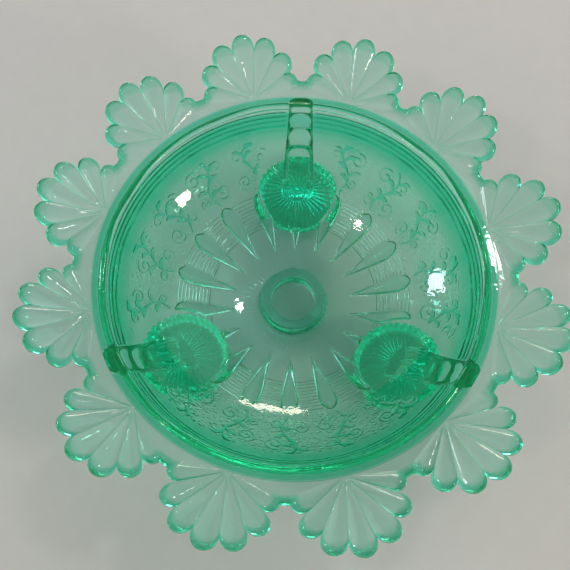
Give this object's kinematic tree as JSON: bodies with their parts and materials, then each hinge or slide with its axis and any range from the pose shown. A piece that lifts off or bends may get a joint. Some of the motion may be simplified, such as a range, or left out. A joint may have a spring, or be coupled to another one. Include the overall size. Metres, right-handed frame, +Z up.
{
  "type": "footed bowl",
  "caption": "Round footed bowl of pressed pale-green glass, with a rim of shell-shaped fans, a socket standing on its floor, strap legs and ribbed disc feet.",
  "frame": {"origin": "on the bowl's axis, on the surface that the three feet stand on", "axes": "+Z up along the bowl's axis, +Y towards the middle of the first leg and foot, +X to the right of it"},
  "size_m": [0.221, 0.221, 0.0695],
  "materials": {
    "bowl_glass": "polished pressed glass",
    "rim_glass": "fire-polished glass",
    "socket_glass": "polished pressed glass",
    "fan_glass": "polished pressed glass",
    "leg_glass": "polished pressed glass",
    "foot_glass": "polished pressed glass"
  },
  "bodies": {
    "root": {"bowl": "bowl_glass", "rim_band": "rim_glass", "center_socket": "socket_glass", "shell_fan_01": "fan_glass", "shell_fan_02": "fan_glass", "shell_fan_03": "fan_glass", "shell_fan_04": "fan_glass", "shell_fan_05": "fan_glass", "shell_fan_06": "fan_glass", "shell_fan_07": "fan_glass", "shell_fan_08": "fan_glass", "shell_fan_09": "fan_glass", "shell_fan_10": "fan_glass", "shell_fan_11": "fan_glass", "shell_fan_12": "fan_glass", "leg_01": "leg_glass", "leg_02": "leg_glass", "leg_03": "leg_glass", "foot_01": "foot_glass", "foot_02": "foot_glass", "foot_03": "foot_glass"}
  },
  "joints": []
}
